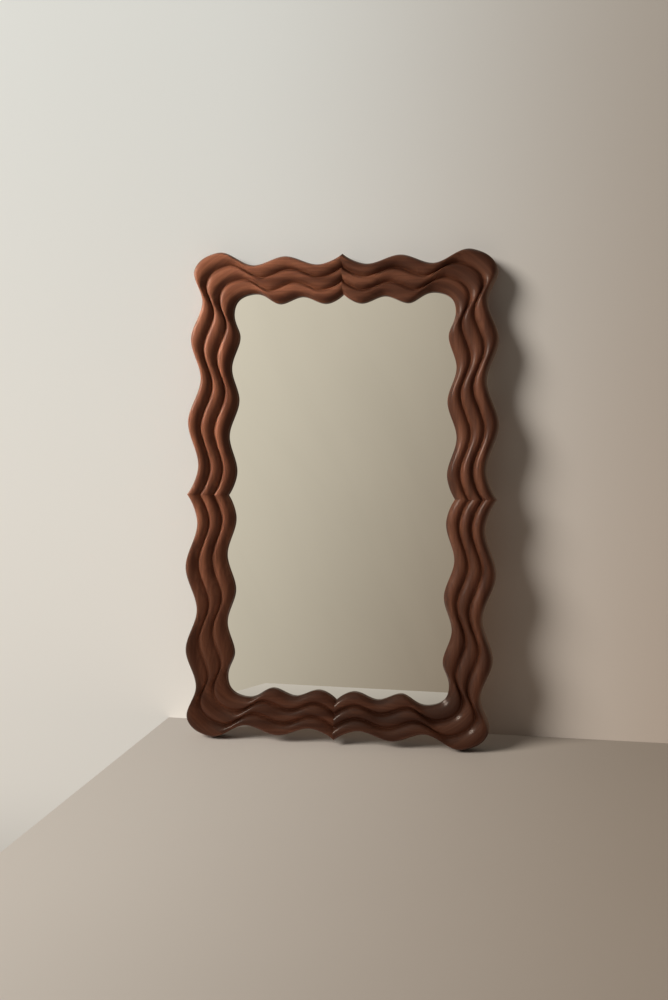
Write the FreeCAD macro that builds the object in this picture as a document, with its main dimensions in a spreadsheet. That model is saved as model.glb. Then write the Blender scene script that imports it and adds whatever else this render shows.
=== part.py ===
"""Carved wavy wall mirror: four L-shaped hardwood quarters, glass, backing and hangers.

Millimetres. X runs to the right, Z up, and Y from the room towards the wall, so the front
faces -Y. The wall plane, which the bumpers touch, is Y = 0, and the origin is on it, behind
the middle of the glass.
"""
import FreeCAD, Part
import Sketcher
import math
import os

V = FreeCAD.Vector
doc = FreeCAD.newDocument("wavy_wall_mirror")

# ---------------------------------------------------------------- driving dimensions

DIMENSIONS = (
    ("frame_width", 610, "over the widest waves of the two stiles"),
    ("frame_height", 950, "over the corner lobes"),
    ("stile_band", 79, "outer to inner wave crest, stiles"),
    ("rail_band", 77, "outer to inner wave crest, rails"),
    ("outer_stile_swing", 23, "crest to trough along the outer edge of a stile"),
    ("inner_stile_swing", 17.5, "crest to trough along the sight edge of a stile"),
    ("outer_rail_swing", 16.5, "crest to trough along the outer edge of a rail"),
    ("inner_rail_swing", 13.5, "crest to trough along the sight edge of a rail"),
    ("neck_fill", 3.5, "how much shallower the trough beside each corner lobe is"),
    ("outer_bow", 8, "how far the outer waves draw in from mid-side to lobe"),
    ("inner_bow", 6.5, "the same along the sight edge"),
    ("outer_lobe_rise", 9, "corner lobe over the rail's crests"),
    ("inner_lobe_rise", 6, "the same along the sight edge"),
    ("outer_peak_rise", 3, "pointed middle of a rail over its crests"),
    ("inner_peak_rise", 4.5, "the same along the sight edge"),
    ("stile_peak_drop", 1.5, "pointed middle of a stile below its crest line"),
    ("outer_lobe_across", 58.5, "half axis of the outer corner curve, along X"),
    ("outer_lobe_up", 40.5, "half axis of the outer corner curve, along Z"),
    ("inner_lobe_across", 49, "half axis of the inner corner curve, along X"),
    ("inner_lobe_up", 40, "half axis of the inner corner curve, along Z"),
    ("shoulder_height", 4, "outer wall's top in front of the sight edge"),
    ("strand_step", 5.5, "each carved strand stands this much before the next"),
    ("strand_rise", 6, "a strand's crest over the valley outside it"),
    ("sight_round", 1.5, "rounded front corner of the sight edge"),
    ("back_round", 4, "rounded outer corner at the back"),
    ("lip_thickness", 7, "wood in front of the glass at the sight edge"),
    ("tape_thickness", 1, "foam glazing tape between lip and glass"),
    ("tape_width", 4, "foam glazing tape"),
    ("glass_thickness", 4, "silvered float glass"),
    ("foam_thickness", 5, "foam sheet that presses the glass forward"),
    ("board_thickness", 5, "hardboard back"),
    ("board_recess", 4, "back board below the frame's back"),
    ("glass_cover", 7, "rebate beyond the widest point of the sight edge"),
    ("ledge_width", 12, "ledge that the back board is screwed to"),
    ("glass_clearance", 2, "glass to rebate wall, each side"),
    ("board_clearance", 1, "back board to rebate wall, each side"),
    ("block_length", 40, "rubber setting block under the glass"),
    ("block_offset", 130, "setting block from the middle"),
    ("dowel_diameter", 8, "fluted beech dowel"),
    ("dowel_length", 40, "half in each quarter"),
    ("dowel_clearance", 0.1, "glue film round a dowel"),
    ("dowel_end_gap", 1, "glue pocket past each end of a dowel"),
    ("dowel_edge", 11, "first dowel from the back board's rebate"),
    ("dowel_pitch", 19, "between the two dowels of a joint"),
    ("dowel_depth", 13, "dowel axis in front of the frame's back"),
    ("screw_diameter", 3.5, "shank of the wood screws"),
    ("screw_head", 7, "pan head, across"),
    ("screw_head_height", 2, "pan head"),
    ("board_screw_length", 14, "under the head"),
    ("hanger_screw_length", 16, "under the head"),
    ("pilot_clearance", 0.05, "pilot hole round a screw's shank, radial"),
    ("cross_width", 1, "cross recess in a screw head"),
    ("cross_depth", 1.2, "cross recess in a screw head"),
    ("stile_screw_near_offset", 90, "first back board screw from mid-height"),
    ("stile_screw_far_offset", 290, "second back board screw from mid-height"),
    ("rail_screw_near_offset", 60, "first back board screw from mid-width"),
    ("rail_screw_far_offset", 180, "second back board screw from mid-width"),
    ("bumper_thickness", 5, "felt bumper, which sets the gap to the wall"),
    ("bumper_diameter", 14, "felt bumper"),
    ("bumper_inset", 32, "bumper from the corner lobe's sides"),
    ("hanger_up", 250, "hanger barrel above mid-height"),
    ("hanger_aside", 17, "hanger's middle from the back board's rebate"),
    ("strap_width", 16, "hanger strap"),
    ("strap_length", 54, "hanger strap below its barrel"),
    ("strap_thickness", 1, "hanger strap and the wall of its barrel"),
    ("strap_screw_first", 27, "first strap screw below the barrel"),
    ("strap_screw_last", 46, "second strap screw below the barrel"),
    ("strap_hole_clearance", 0.4, "strap hole round a screw, radial"),
    ("wire_diameter", 2.5, "hanger ring's wire"),
    ("barrel_clearance", 0.08, "barrel round the wire, radial"),
    ("barrel_length", 9, "rolled end of the strap"),
    ("barrel_height", 2.6, "barrel axis behind the frame's back"),
    ("ring_width", 18.5, "hanger ring across, between wire middles"),
    ("ring_drop", 17, "hanger ring from barrel to far end, to the wire's middle"),
    ("ring_corner", 3, "bend beside the barrel"),
)

sheet = doc.addObject("Spreadsheet::Sheet", "sizes")
for row, (alias, value, note) in enumerate(DIMENSIONS, start=1):
    sheet.set(f"A{row}", alias)
    sheet.set(f"B{row}", str(value))
    sheet.set(f"C{row}", note)
    sheet.setAlias(f"B{row}", alias)
doc.recompute()


def size(expression):
    """The value of a driving dimension, or of an expression on the sheet."""
    return float(sheet.evalExpression(f"sizes.{expression}" if expression.isidentifier()
                                      else expression))


# ---------------------------------------------------------------- places worked out from them

INNER_HALF_WIDTH = "(sizes.frame_width / 2 - sizes.stile_band)"
OUTER_CREST_Z = "(sizes.frame_height / 2 - sizes.outer_lobe_rise)"
INNER_CREST_Z = f"({OUTER_CREST_Z} - sizes.rail_band)"
REBATE_X = f"({INNER_HALF_WIDTH} + sizes.glass_cover)"
REBATE_Z = f"({INNER_CREST_Z} + sizes.inner_lobe_rise + sizes.glass_cover)"
LEDGE_X = f"({REBATE_X} + sizes.ledge_width)"
LEDGE_Z = f"({REBATE_Z} + sizes.ledge_width)"
GLASS_X = f"({REBATE_X} - sizes.glass_clearance)"
GLASS_Z = f"({REBATE_Z} - sizes.glass_clearance)"

Y_BACK = "(0 - sizes.bumper_thickness)"
Y_BOARD_BACK = f"({Y_BACK} - sizes.board_recess)"
Y_LEDGE = f"({Y_BOARD_BACK} - sizes.board_thickness)"
Y_GLASS_BACK = f"({Y_LEDGE} - sizes.foam_thickness)"
Y_GLASS_FRONT = f"({Y_GLASS_BACK} - sizes.glass_thickness)"
Y_LIP = f"({Y_GLASS_FRONT} - sizes.tape_thickness)"
Y_SIGHT = f"({Y_LIP} - sizes.lip_thickness)"
Y_DOWEL = f"({Y_BACK} - sizes.dowel_depth)"

DOWEL_X = (f"({LEDGE_X} + sizes.dowel_edge)",
           f"({LEDGE_X} + sizes.dowel_edge + sizes.dowel_pitch)")
DOWEL_Z = (f"({LEDGE_Z} + sizes.dowel_edge)",
           f"({LEDGE_Z} + sizes.dowel_edge + sizes.dowel_pitch)")
BOARD_SCREW_X = f"({REBATE_X} + sizes.ledge_width / 2)"
BOARD_SCREW_Z = f"({REBATE_Z} + sizes.ledge_width / 2)"
BOARD_SCREWS = ((BOARD_SCREW_X, "sizes.stile_screw_near_offset"),
                (BOARD_SCREW_X, "sizes.stile_screw_far_offset"),
                ("sizes.rail_screw_near_offset", BOARD_SCREW_Z),
                ("sizes.rail_screw_far_offset", BOARD_SCREW_Z))
HANGER_X = f"({LEDGE_X} + sizes.hanger_aside)"
STRAP_SCREWS = ("sizes.strap_screw_first", "sizes.strap_screw_last")
BUMPER_X = "(sizes.frame_width / 2 - sizes.outer_bow - sizes.bumper_inset)"
BUMPER_Z = "(sizes.frame_height / 2 - sizes.bumper_inset)"

OVERCUT = 1
TOUCHING = 1e-6
TOWARDS_ROOM = FreeCAD.Rotation(V(0, 0, 1), V(0, -1, 0))
TOWARDS_WALL = FreeCAD.Rotation(V(0, 0, 1), V(0, 1, 0))
TO_THE_RIGHT = FreeCAD.Rotation(V(0, 0, 1), V(1, 0, 0))
SIDES = (("left", "-1"), ("right", "1"))
ENDS = (("top", "1"), ("bottom", "-1"))

# ---------------------------------------------------------------- carved quarter

# The strands run side by side. They turn at these shares of the way from the pointed middle of
# a side to the corner lobe: on a stile in, out, in, out, in, and on a rail in, out, in.
STRANDS = 3
STILE_TURNS = (0.128, 0.332, 0.528, 0.711, 0.884)
RAIL_TURNS = (0.203, 0.479, 0.750)

# Each pointed middle falls to its first turn along a quarter of a sine, with one point on the way.
PEAK_SHARE = 0.5
PEAK_FALL = math.sin(PEAK_SHARE * math.pi / 2)

# The corner lobes are quarters of a superellipse: 2 is a plain ellipse, and more is squarer.
OUTER_SQUARENESS = 2.0
INNER_SQUARENESS = 2.5
LOBE_STEPS = 4

# Poles of a strand's section, as (share of its width, share of the rise or fall). It rises from
# the frame's outer wall or from a valley, and falls to the next valley or to the sight edge.
# After the relief and the sight wall, the third stretch of the section is the flat back.
WALL_RISE = ((0.0, 0.0), (0.0, 0.33), (0.06, 0.68), (0.20, 1.0))
VALLEY_RISE = ((0.03, 0.10), (0.12, 0.80), (0.26, 1.08))
CREST_FALL = ((0.48, 0.0), (0.70, 0.23), (0.88, 0.70))
VALLEY_FALL = (0.975, 0.98)
SIGHT_FALL = (0.965, 0.90)
FLAT_BACK = 2


def edge_points(edge, half_width, crest_z, squareness):
    """Turning points of one edge of the top right quarter, from mid-stile to mid-rail."""
    stile_swing = size(f"{edge}_stile_swing")
    rail_swing = size(f"{edge}_rail_swing")
    bow = size(f"{edge}_bow")
    across = size(f"{edge}_lobe_across")
    up = size(f"{edge}_lobe_up")
    corner_x = half_width - bow - across
    corner_z = crest_z + size(f"{edge}_lobe_rise") - up
    peak_x = half_width - size("stile_peak_drop")
    peak_z = crest_z + size(f"{edge}_peak_rise")

    points = [V(peak_x, 0, 0)]
    peak_fall = (stile_swing - size("stile_peak_drop")) * PEAK_FALL
    points.append(V(peak_x - peak_fall, 0, corner_z * STILE_TURNS[0] * PEAK_SHARE))
    for turn, share in enumerate(STILE_TURNS):
        x = half_width - bow * share ** 2
        if turn % 2 == 0:
            x -= stile_swing
        if share == STILE_TURNS[-1]:
            x += size("neck_fill")
        points.append(V(x, 0, corner_z * share))
    for step in range(LOBE_STEPS + 1):
        angle = math.pi / 2 * step / LOBE_STEPS
        x = corner_x + across * math.cos(angle) ** (2 / squareness)
        z = corner_z + up * math.sin(angle) ** (2 / squareness)
        points.append(V(x, 0, z))
    for turn, share in enumerate(reversed(RAIL_TURNS)):
        z = crest_z - (rail_swing if turn % 2 == 0 else 0)
        points.append(V(corner_x * share, 0, z))
    peak_fall = (rail_swing + size(f"{edge}_peak_rise")) * PEAK_FALL
    points.append(V(corner_x * RAIL_TURNS[0] * PEAK_SHARE, 0, peak_z - peak_fall))
    points.append(V(0, 0, peak_z))
    return points


def strand_poles(strand):
    """Poles of one carved strand, as (share of the band, height before the sight edge)."""
    width = 1 / STRANDS
    low = size("strand_step") * (STRANDS - 1 - strand)
    valley = low + size("strand_step")
    crest = valley + size("strand_rise")
    foot, rises, last = valley, VALLEY_RISE, VALLEY_FALL
    if strand == 0:
        foot, rises = size("shoulder_height"), WALL_RISE
    if strand == STRANDS - 1:
        last = SIGHT_FALL
    poles = [((strand + v) * width, foot + share * (crest - foot)) for v, share in rises]
    for v, share in (*CREST_FALL, last):
        poles.append(((strand + v) * width, crest - share * (crest - low)))
    if strand == STRANDS - 1:
        poles += [(1, low), (1, low - size("sight_round"))]
    return poles


def spread_knots(pole_count, degree):
    """Evenly spread knots of a spline that starts at its first pole and ends at its last."""
    spans = pole_count - degree
    knots = [float(k) for k in range(spans + 1)]
    repeats = [degree + 1] + [1] * (spans - 1) + [degree + 1]
    return knots, repeats


def flat_face(edges):
    """Plane face inside a ring of edges."""
    return Part.Face(Part.Wire(Part.__sortEdges__(list(edges))))


def carved_quarter():
    """Top right quarter: one section, swept so that it blends from outer to sight edge."""
    outer = edge_points("outer", size("frame_width") / 2, size(OUTER_CREST_Z),
                        OUTER_SQUARENESS)
    inner = edge_points("inner", size(INNER_HALF_WIDTH), size(INNER_CREST_Z),
                        INNER_SQUARENESS)
    stations = [0.0]
    for k in range(1, len(outer)):
        stride = (outer[k] - outer[k - 1]).Length + (inner[k] - inner[k - 1]).Length
        stations.append(stations[-1] + stride / 2)
    edges = []
    for points in (outer, inner):
        curve = Part.BSplineCurve()
        curve.interpolate(Points=points, Parameters=stations)
        edges.append(curve)
    outer_poles, inner_poles = (curve.getPoles() for curve in edges)
    along_knots = edges[0].getKnots()
    along_repeats = edges[0].getMultiplicities()

    round_share = size("back_round") / min(size("stile_band"), size("rail_band"))
    y_sight = size(Y_SIGHT)
    depth = size(Y_BACK) - y_sight
    relief = []
    for strand in range(STRANDS):
        relief += strand_poles(strand)
    section = (
        (relief, 3),
        ([(1, -size("sight_round")), (1, -depth)], 1),
        ([(1, -depth), (round_share, -depth)], 1),
        ([(round_share, -depth), (0, -depth), (0, size("back_round") - depth)], 2),
        ([(0, size("back_round") - depth), (0, size("shoulder_height"))], 1),
    )

    sweep_degree = edges[0].Degree
    swept = []
    for poles, degree in section:
        grid = []
        for a, b in zip(outer_poles, inner_poles):
            grid.append([a * (1 - v) + b * v + V(0, y_sight - h, 0) for v, h in poles])
        knots, repeats = spread_knots(len(poles), degree)
        surface = Part.BSplineSurface()
        surface.buildFromPolesMultsKnots(
            grid, along_repeats, repeats, along_knots, knots, False, False,
            sweep_degree, degree)
        swept.append(surface.toShape())
    swept[FLAT_BACK] = flat_face(swept[FLAT_BACK].Edges)
    caps = []
    for joint_normal in (V(0, 0, 1), V(1, 0, 0)):
        caps.append(flat_face(
            edge for face in swept for edge in face.Edges
            if all(abs(p.dot(joint_normal)) < TOUCHING for p in edge.discretize(5))))
    shell = Part.makeShell(swept + caps)
    shell.sewShape()
    solid = Part.makeSolid(shell)
    if solid.Volume < 0:
        solid.reverse()
    return solid


# ---------------------------------------------------------------- helpers for plain pieces

def place(item, x="0", y="0", z="0", rotation=None):
    """Binds an object's place to three expressions."""
    item.Placement = FreeCAD.Placement(V(), rotation or FreeCAD.Rotation())
    for axis, expression in zip("xyz", (x, y, z)):
        item.setExpression(f"Placement.Base.{axis}", expression)


def rod(name, radius, length, x, y, z, rotation):
    """Round peg or cutter that starts at a point."""
    item = doc.addObject("Part::Cylinder", name)
    item.setExpression("Radius", radius)
    item.setExpression("Height", length)
    place(item, x, y, z, rotation)
    return item


def block(name, length, width, height, x, y, z):
    """Rectangular block that starts at its lowest corner."""
    item = doc.addObject("Part::Box", name)
    for side, expression in (("Length", length), ("Width", width), ("Height", height)):
        item.setExpression(side, expression)
    place(item, x, y, z)
    return item


def gather(name, items):
    """One object that holds several separate solids."""
    group = doc.addObject("Part::Compound", name)
    group.Links = items
    return group


def add_sketch(body, name, role, lift="0"):
    """Sketch on one of a body's origin planes, lifted along the plane's normal."""
    sketch = body.newObject("Sketcher::SketchObject", name)
    plane = next(f for f in body.Origin.OriginFeatures if f.Role == role)
    sketch.AttachmentSupport = [(plane, "")]
    sketch.MapMode = "FlatFace"
    sketch.setExpression("AttachmentOffset.Base.z", lift)
    return sketch


def fix(sketch, name, kind, where, expression, start=1.0):
    """Dimension of a sketch, bound to an expression."""
    index = sketch.addConstraint(Sketcher.Constraint(kind, *where, start))
    sketch.renameConstraint(index, name)
    sketch.setExpression(f"Constraints.{name}", expression)


def rectangle(sketch, name, low_x, low_y, high_x, high_y):
    """Rectangle whose two opposite corners are expressions."""
    corners = (V(-1, -1, 0), V(1, -1, 0), V(1, 1, 0), V(-1, 1, 0))
    first = sketch.GeometryCount
    for k in range(4):
        sketch.addGeometry(Part.LineSegment(corners[k], corners[(k + 1) % 4]))
    for k in range(4):
        joined = Sketcher.Constraint("Coincident", first + k, 2, first + (k + 1) % 4, 1)
        sketch.addConstraint(joined)
        kind = "Vertical" if k % 2 else "Horizontal"
        sketch.addConstraint(Sketcher.Constraint(kind, first + k))
    fix(sketch, f"{name}_low_x", "DistanceX", (-1, 1, first, 1), low_x, -1.0)
    fix(sketch, f"{name}_low_y", "DistanceY", (-1, 1, first, 1), low_y, -1.0)
    fix(sketch, f"{name}_high_x", "DistanceX", (-1, 1, first + 2, 1), high_x)
    fix(sketch, f"{name}_high_y", "DistanceY", (-1, 1, first + 2, 1), high_y)


def circle(sketch, name, radius, x="0", y="0"):
    """Circle whose radius and centre are expressions."""
    index = sketch.addGeometry(Part.Circle(V(size(x), size(y), 0), V(0, 0, 1), size(radius)))
    fix(sketch, f"{name}_radius", "Radius", (index,), radius, size(radius))
    fix(sketch, f"{name}_x", "DistanceX", (-1, 1, index, 3), x, size(x))
    fix(sketch, f"{name}_y", "DistanceY", (-1, 1, index, 3), y, size(y))


def pad(body, sketch, length, both_ways=False):
    """Pads a sketch along its normal."""
    feature = body.newObject("PartDesign::Pad", f"{sketch.Name}_pad")
    feature.Profile = sketch
    feature.Midplane = both_ways
    feature.setExpression("Length", length)
    return feature


def drill(body, sketch):
    """Cuts a sketch right through a body, both ways."""
    feature = body.newObject("PartDesign::Pocket", f"{sketch.Name}_drill")
    feature.Profile = sketch
    feature.Type = "ThroughAll"
    feature.Midplane = True
    return feature


# ---------------------------------------------------------------- frame quarters

blank = doc.addObject("Part::Feature", "quarter_blank")
blank.Shape = carved_quarter()

quarter_cutters = [
    block("glass_rebate", f"2 * {REBATE_X}", f"{Y_BACK} - {Y_LIP} + {OVERCUT}",
          f"2 * {REBATE_Z}", f"0 - {REBATE_X}", Y_LIP, f"0 - {REBATE_Z}"),
    block("board_rebate", f"2 * {LEDGE_X}", f"{Y_BACK} - {Y_LEDGE} + {OVERCUT}",
          f"2 * {LEDGE_Z}", f"0 - {LEDGE_X}", Y_LEDGE, f"0 - {LEDGE_Z}"),
]
dowel_hole_radius = "sizes.dowel_diameter / 2 + sizes.dowel_clearance"
dowel_hole_depth = "(sizes.dowel_length / 2 + sizes.dowel_end_gap)"
for k in range(2):
    quarter_cutters.append(rod(
        f"stile_dowel_hole_{k}", dowel_hole_radius, f"{dowel_hole_depth} + {OVERCUT}",
        DOWEL_X[k], Y_DOWEL, f"0 - {OVERCUT}", FreeCAD.Rotation()))
    quarter_cutters.append(rod(
        f"rail_dowel_hole_{k}", dowel_hole_radius, f"{dowel_hole_depth} + {OVERCUT}",
        f"0 - {OVERCUT}", Y_DOWEL, DOWEL_Z[k], TO_THE_RIGHT))
pilot_radius = "sizes.screw_diameter / 2 + sizes.pilot_clearance"
for k, (x, z) in enumerate(BOARD_SCREWS):
    quarter_cutters.append(rod(
        f"board_pilot_{k}", pilot_radius,
        f"sizes.board_screw_length - sizes.board_thickness + {2 * OVERCUT}",
        x, f"{Y_LEDGE} + {OVERCUT}", z, TOWARDS_ROOM))

quarter = doc.addObject("Part::Cut", "quarter_common")
quarter.Base = blank
quarter.Tool = gather("quarter_cutters", quarter_cutters)

strap_pilots = []
for k, drop in enumerate(STRAP_SCREWS):
    strap_pilots.append(rod(
        f"strap_pilot_{k}", pilot_radius,
        f"sizes.hanger_screw_length - sizes.strap_thickness + {2 * OVERCUT}",
        HANGER_X, f"{Y_BACK} + {OVERCUT}", f"sizes.hanger_up - {drop}", TOWARDS_ROOM))
top_right = doc.addObject("Part::Cut", "frame_quarter_top_right")
top_right.Base = quarter
top_right.Tool = gather("strap_pilots", strap_pilots)


def mirrored(name, source, normal):
    """Mirror image of a quarter in a plane through the origin."""
    image = doc.addObject("Part::Mirroring", name)
    image.Source = source
    image.Normal = normal
    return image


top_left = mirrored("frame_quarter_top_left", top_right, V(1, 0, 0))
bottom_right = mirrored("frame_quarter_bottom_right", quarter, V(0, 0, 1))
bottom_left = mirrored("frame_quarter_bottom_left", bottom_right, V(1, 0, 0))
nodes = [top_left, top_right, bottom_left, bottom_right]

# ---------------------------------------------------------------- dowels across the joints

dowel_radius = "sizes.dowel_diameter / 2"
for side, sign in SIDES:
    pegs = [rod(f"dowel_{side}_{k}", dowel_radius, "sizes.dowel_length", f"{sign} * {x}",
                Y_DOWEL, "0 - sizes.dowel_length / 2", FreeCAD.Rotation())
            for k, x in enumerate(DOWEL_X)]
    nodes.append(gather(f"joint_dowels_{side}", pegs))
for end, sign in ENDS:
    pegs = [rod(f"dowel_{end}_{k}", dowel_radius, "sizes.dowel_length",
                "0 - sizes.dowel_length / 2", Y_DOWEL, f"{sign} * {z}", TO_THE_RIGHT)
            for k, z in enumerate(DOWEL_Z)]
    nodes.append(gather(f"joint_dowels_{end}", pegs))

# ---------------------------------------------------------------- glass and what beds it


def panel(name, half_width, half_height, thickness, y_rear):
    """Flat rectangular sheet, padded towards the room from its rear face."""
    body = doc.addObject("PartDesign::Body", name)
    outline = add_sketch(body, f"{name}_outline", "XZ_Plane")
    rectangle(outline, "sheet", f"0 - {half_width}", f"0 - {half_height}",
              half_width, half_height)
    pad(body, outline, thickness)
    place(body, y=y_rear)
    nodes.append(body)
    return body


panel("mirror_glass", GLASS_X, GLASS_Z, "sizes.glass_thickness", Y_GLASS_BACK)
panel("backing_foam", GLASS_X, GLASS_Z, "sizes.foam_thickness", Y_LEDGE)

tape_inside = f"({GLASS_Z} - sizes.tape_width)"
for end, z in (("top", tape_inside), ("bottom", f"0 - {GLASS_Z}")):
    nodes.append(block(f"glazing_tape_{end}", f"2 * {GLASS_X}", "sizes.tape_thickness",
                       "sizes.tape_width", f"0 - {GLASS_X}", Y_LIP, z))
for side, x in (("left", f"0 - {GLASS_X}"), ("right", f"{GLASS_X} - sizes.tape_width")):
    nodes.append(block(f"glazing_tape_{side}", "sizes.tape_width", "sizes.tape_thickness",
                       f"2 * {tape_inside}", x, Y_LIP, f"0 - {tape_inside}"))

blocks = []
for side, sign in SIDES:
    blocks.append(block(f"setting_block_{side}", "sizes.block_length",
                        "sizes.glass_thickness", "sizes.glass_clearance",
                        f"{sign} * sizes.block_offset - sizes.block_length / 2",
                        Y_GLASS_FRONT, f"0 - {REBATE_Z}"))
nodes.append(gather("setting_blocks", blocks))

# ---------------------------------------------------------------- back board

back_board = panel("back_board", f"({LEDGE_X} - sizes.board_clearance)",
                   f"({LEDGE_Z} - sizes.board_clearance)", "sizes.board_thickness",
                   Y_BOARD_BACK)
board_holes = add_sketch(back_board, "board_holes", "XZ_Plane")
board_screw_places = []
for end, z_sign in ENDS:
    for side, x_sign in SIDES:
        for k, (x, z) in enumerate(BOARD_SCREWS):
            here = (f"{x_sign} * {x}", f"{z_sign} * {z}")
            board_screw_places.append(here)
            circle(board_holes, f"{end}_{side}_{k}",
                   "sizes.screw_diameter / 2 + sizes.strap_hole_clearance", *here)
doc.recompute()
drill(back_board, board_holes)

# ---------------------------------------------------------------- wood screws

# The point is this many diameters long. The head's outline is an arc from its top to its rim
# through this share of its radius and height, and the cross reaches this share of its width.
POINT_DIAMETERS = 2
HEAD_ROUND = (0.71, 0.84)
CROSS_SHARE = 0.25

def wood_screw(name, length):
    """Pan-head screw with a cross recess: head above its own origin, shank below."""
    body = doc.addObject("PartDesign::Body", name)
    section = add_sketch(body, f"{name}_section", "XZ_Plane")
    head = size("screw_head") / 2
    top = size("screw_head_height")
    shank = size("screw_diameter") / 2
    tip = size(length)
    shoulder = tip - POINT_DIAMETERS * size("screw_diameter")
    crown = V(head * HEAD_ROUND[0], top * HEAD_ROUND[1], 0)
    section.addGeometry(Part.Arc(V(0, top, 0), crown, V(head, 0, 0)))
    outline = (V(head, 0, 0), V(shank, 0, 0), V(shank, -shoulder, 0), V(0, -tip, 0),
               V(0, top, 0))
    for a, b in zip(outline, outline[1:]):
        section.addGeometry(Part.LineSegment(a, b))
    turned = body.newObject("PartDesign::Revolution", f"{name}_turned")
    turned.Profile = section
    turned.ReferenceAxis = (section, ["V_Axis"])
    cross = add_sketch(body, f"{name}_cross", "XY_Plane",
                       "sizes.screw_head_height - sizes.cross_depth")
    arm = size("screw_head") * CROSS_SHARE
    half = size("cross_width") / 2
    cross_outline = (V(half, arm, 0), V(half, half, 0), V(arm, half, 0))
    corners = [FreeCAD.Rotation(V(0, 0, 1), -90 * k).multVec(corner)
               for k in range(4) for corner in cross_outline]
    for a, b in zip(corners, corners[1:] + corners[:1]):
        cross.addGeometry(Part.LineSegment(a, b))
    doc.recompute()
    recess = body.newObject("PartDesign::Pocket", f"{name}_recess")
    recess.Profile = cross
    recess.Reversed = True
    recess.setExpression("Length", "sizes.cross_depth")
    return body


def screw_group(name, screw, places, y):
    """Copies of one screw, driven towards the room at several places."""
    copies = []
    for k, (x, z) in enumerate(places):
        copy = doc.addObject("App::Link", f"{name}_{k}")
        copy.LinkedObject = screw
        place(copy, x, y, z, TOWARDS_WALL)
        copies.append(copy)
    nodes.append(gather(name, copies))


board_screw = wood_screw("board_screw", "board_screw_length")
hanger_screw = wood_screw("hanger_screw", "hanger_screw_length")
screw_group("back_board_screws", board_screw, board_screw_places, Y_BOARD_BACK)

# ---------------------------------------------------------------- ring hangers


def hanger_strap(name, x):
    """Steel strap with two screw holes, its upper end rolled into a barrel."""
    body = doc.addObject("PartDesign::Body", name)
    outline = add_sketch(body, f"{name}_outline", "XZ_Plane",
                         "sizes.barrel_height - sizes.strap_thickness")
    half_width = "sizes.strap_width / 2"
    rectangle(outline, "strap", f"0 - {half_width}", "0 - sizes.strap_length",
              half_width, "0")
    pad(body, outline, "sizes.strap_thickness")
    bore = "(sizes.wire_diameter / 2 + sizes.barrel_clearance)"
    roll = add_sketch(body, f"{name}_roll", "YZ_Plane")
    circle(roll, "roll", f"{bore} + sizes.strap_thickness")
    pad(body, roll, "sizes.barrel_length", both_ways=True)
    eye = add_sketch(body, f"{name}_eye", "YZ_Plane")
    circle(eye, "eye", bore)
    holes = add_sketch(body, f"{name}_holes", "XZ_Plane")
    for k, drop in enumerate(STRAP_SCREWS):
        circle(holes, f"hole_{k}", "sizes.screw_diameter / 2 + sizes.strap_hole_clearance",
               "0", f"0 - {drop}")
    doc.recompute()
    drill(body, eye)
    drill(body, holes)
    place(body, x, f"{Y_BACK} + sizes.barrel_height", "sizes.hanger_up")
    return body


def hanger_ring(name, x):
    """D-shaped wire ring: a straight bar through the barrel and a loop that hangs below."""
    half = size("ring_width") / 2
    bend = size("ring_corner")
    drop = size("ring_drop")
    cut = bend * (1 - math.sin(math.pi / 4))
    body = doc.addObject("PartDesign::Body", name)
    path = add_sketch(body, f"{name}_path", "XZ_Plane")
    path.addGeometry(Part.LineSegment(V(bend - half, 0, 0), V(half - bend, 0, 0)))
    path.addGeometry(Part.Arc(V(half - bend, 0, 0), V(half - cut, -cut, 0),
                              V(half, -bend, 0)))
    path.addGeometry(Part.LineSegment(V(half, -bend, 0), V(half, half - drop, 0)))
    path.addGeometry(Part.Arc(V(half, half - drop, 0), V(0, -drop, 0),
                              V(-half, half - drop, 0)))
    path.addGeometry(Part.LineSegment(V(-half, half - drop, 0), V(-half, -bend, 0)))
    path.addGeometry(Part.Arc(V(-half, -bend, 0), V(cut - half, -cut, 0),
                              V(bend - half, 0, 0)))
    wire = add_sketch(body, f"{name}_wire", "YZ_Plane")
    circle(wire, "wire", "sizes.wire_diameter / 2")
    doc.recompute()
    loop = body.newObject("PartDesign::AdditivePipe", f"{name}_loop")
    loop.Profile = wire
    loop.Spine = (path, [])
    place(body, x, f"{Y_BACK} + sizes.barrel_height", "sizes.hanger_up")
    return body


for side, sign in SIDES:
    hanger_place = f"{sign} * {HANGER_X}"
    nodes.append(hanger_strap(f"hanger_strap_{side}", hanger_place))
    nodes.append(hanger_ring(f"hanger_ring_{side}", hanger_place))
    screw_group(f"hanger_screws_{side}", hanger_screw,
                [(hanger_place, f"sizes.hanger_up - {drop}") for drop in STRAP_SCREWS],
                f"{Y_BACK} + sizes.strap_thickness")

# ---------------------------------------------------------------- wall bumpers

for end, z_sign in ENDS:
    for side, x_sign in SIDES:
        nodes.append(rod(f"wall_bumper_{end}_{side}", "sizes.bumper_diameter / 2",
                         "sizes.bumper_thickness", f"{x_sign} * {BUMPER_X}", Y_BACK,
                         f"{z_sign} * {BUMPER_Z}", TOWARDS_WALL))

# ---------------------------------------------------------------- check and write

doc.recompute()
for item in doc.Objects:
    if "Invalid" in item.State or "Error" in item.State:
        raise RuntimeError(f"{item.Label}: {item.State}")
for node in nodes:
    node.Label = node.Name
    if node.Shape.isNull() or not node.Shape.isValid() or not node.Shape.Solids:
        raise RuntimeError(f"{node.Label}: no valid solid")

os.makedirs("parts", exist_ok=True)
for node in nodes:
    node.Shape.exportStep(os.path.join("parts", f"{node.Label}.step"))
    print(f"{node.Label}: {len(node.Shape.Solids)} solids, {node.Shape.Volume:.0f} mm3")
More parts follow.
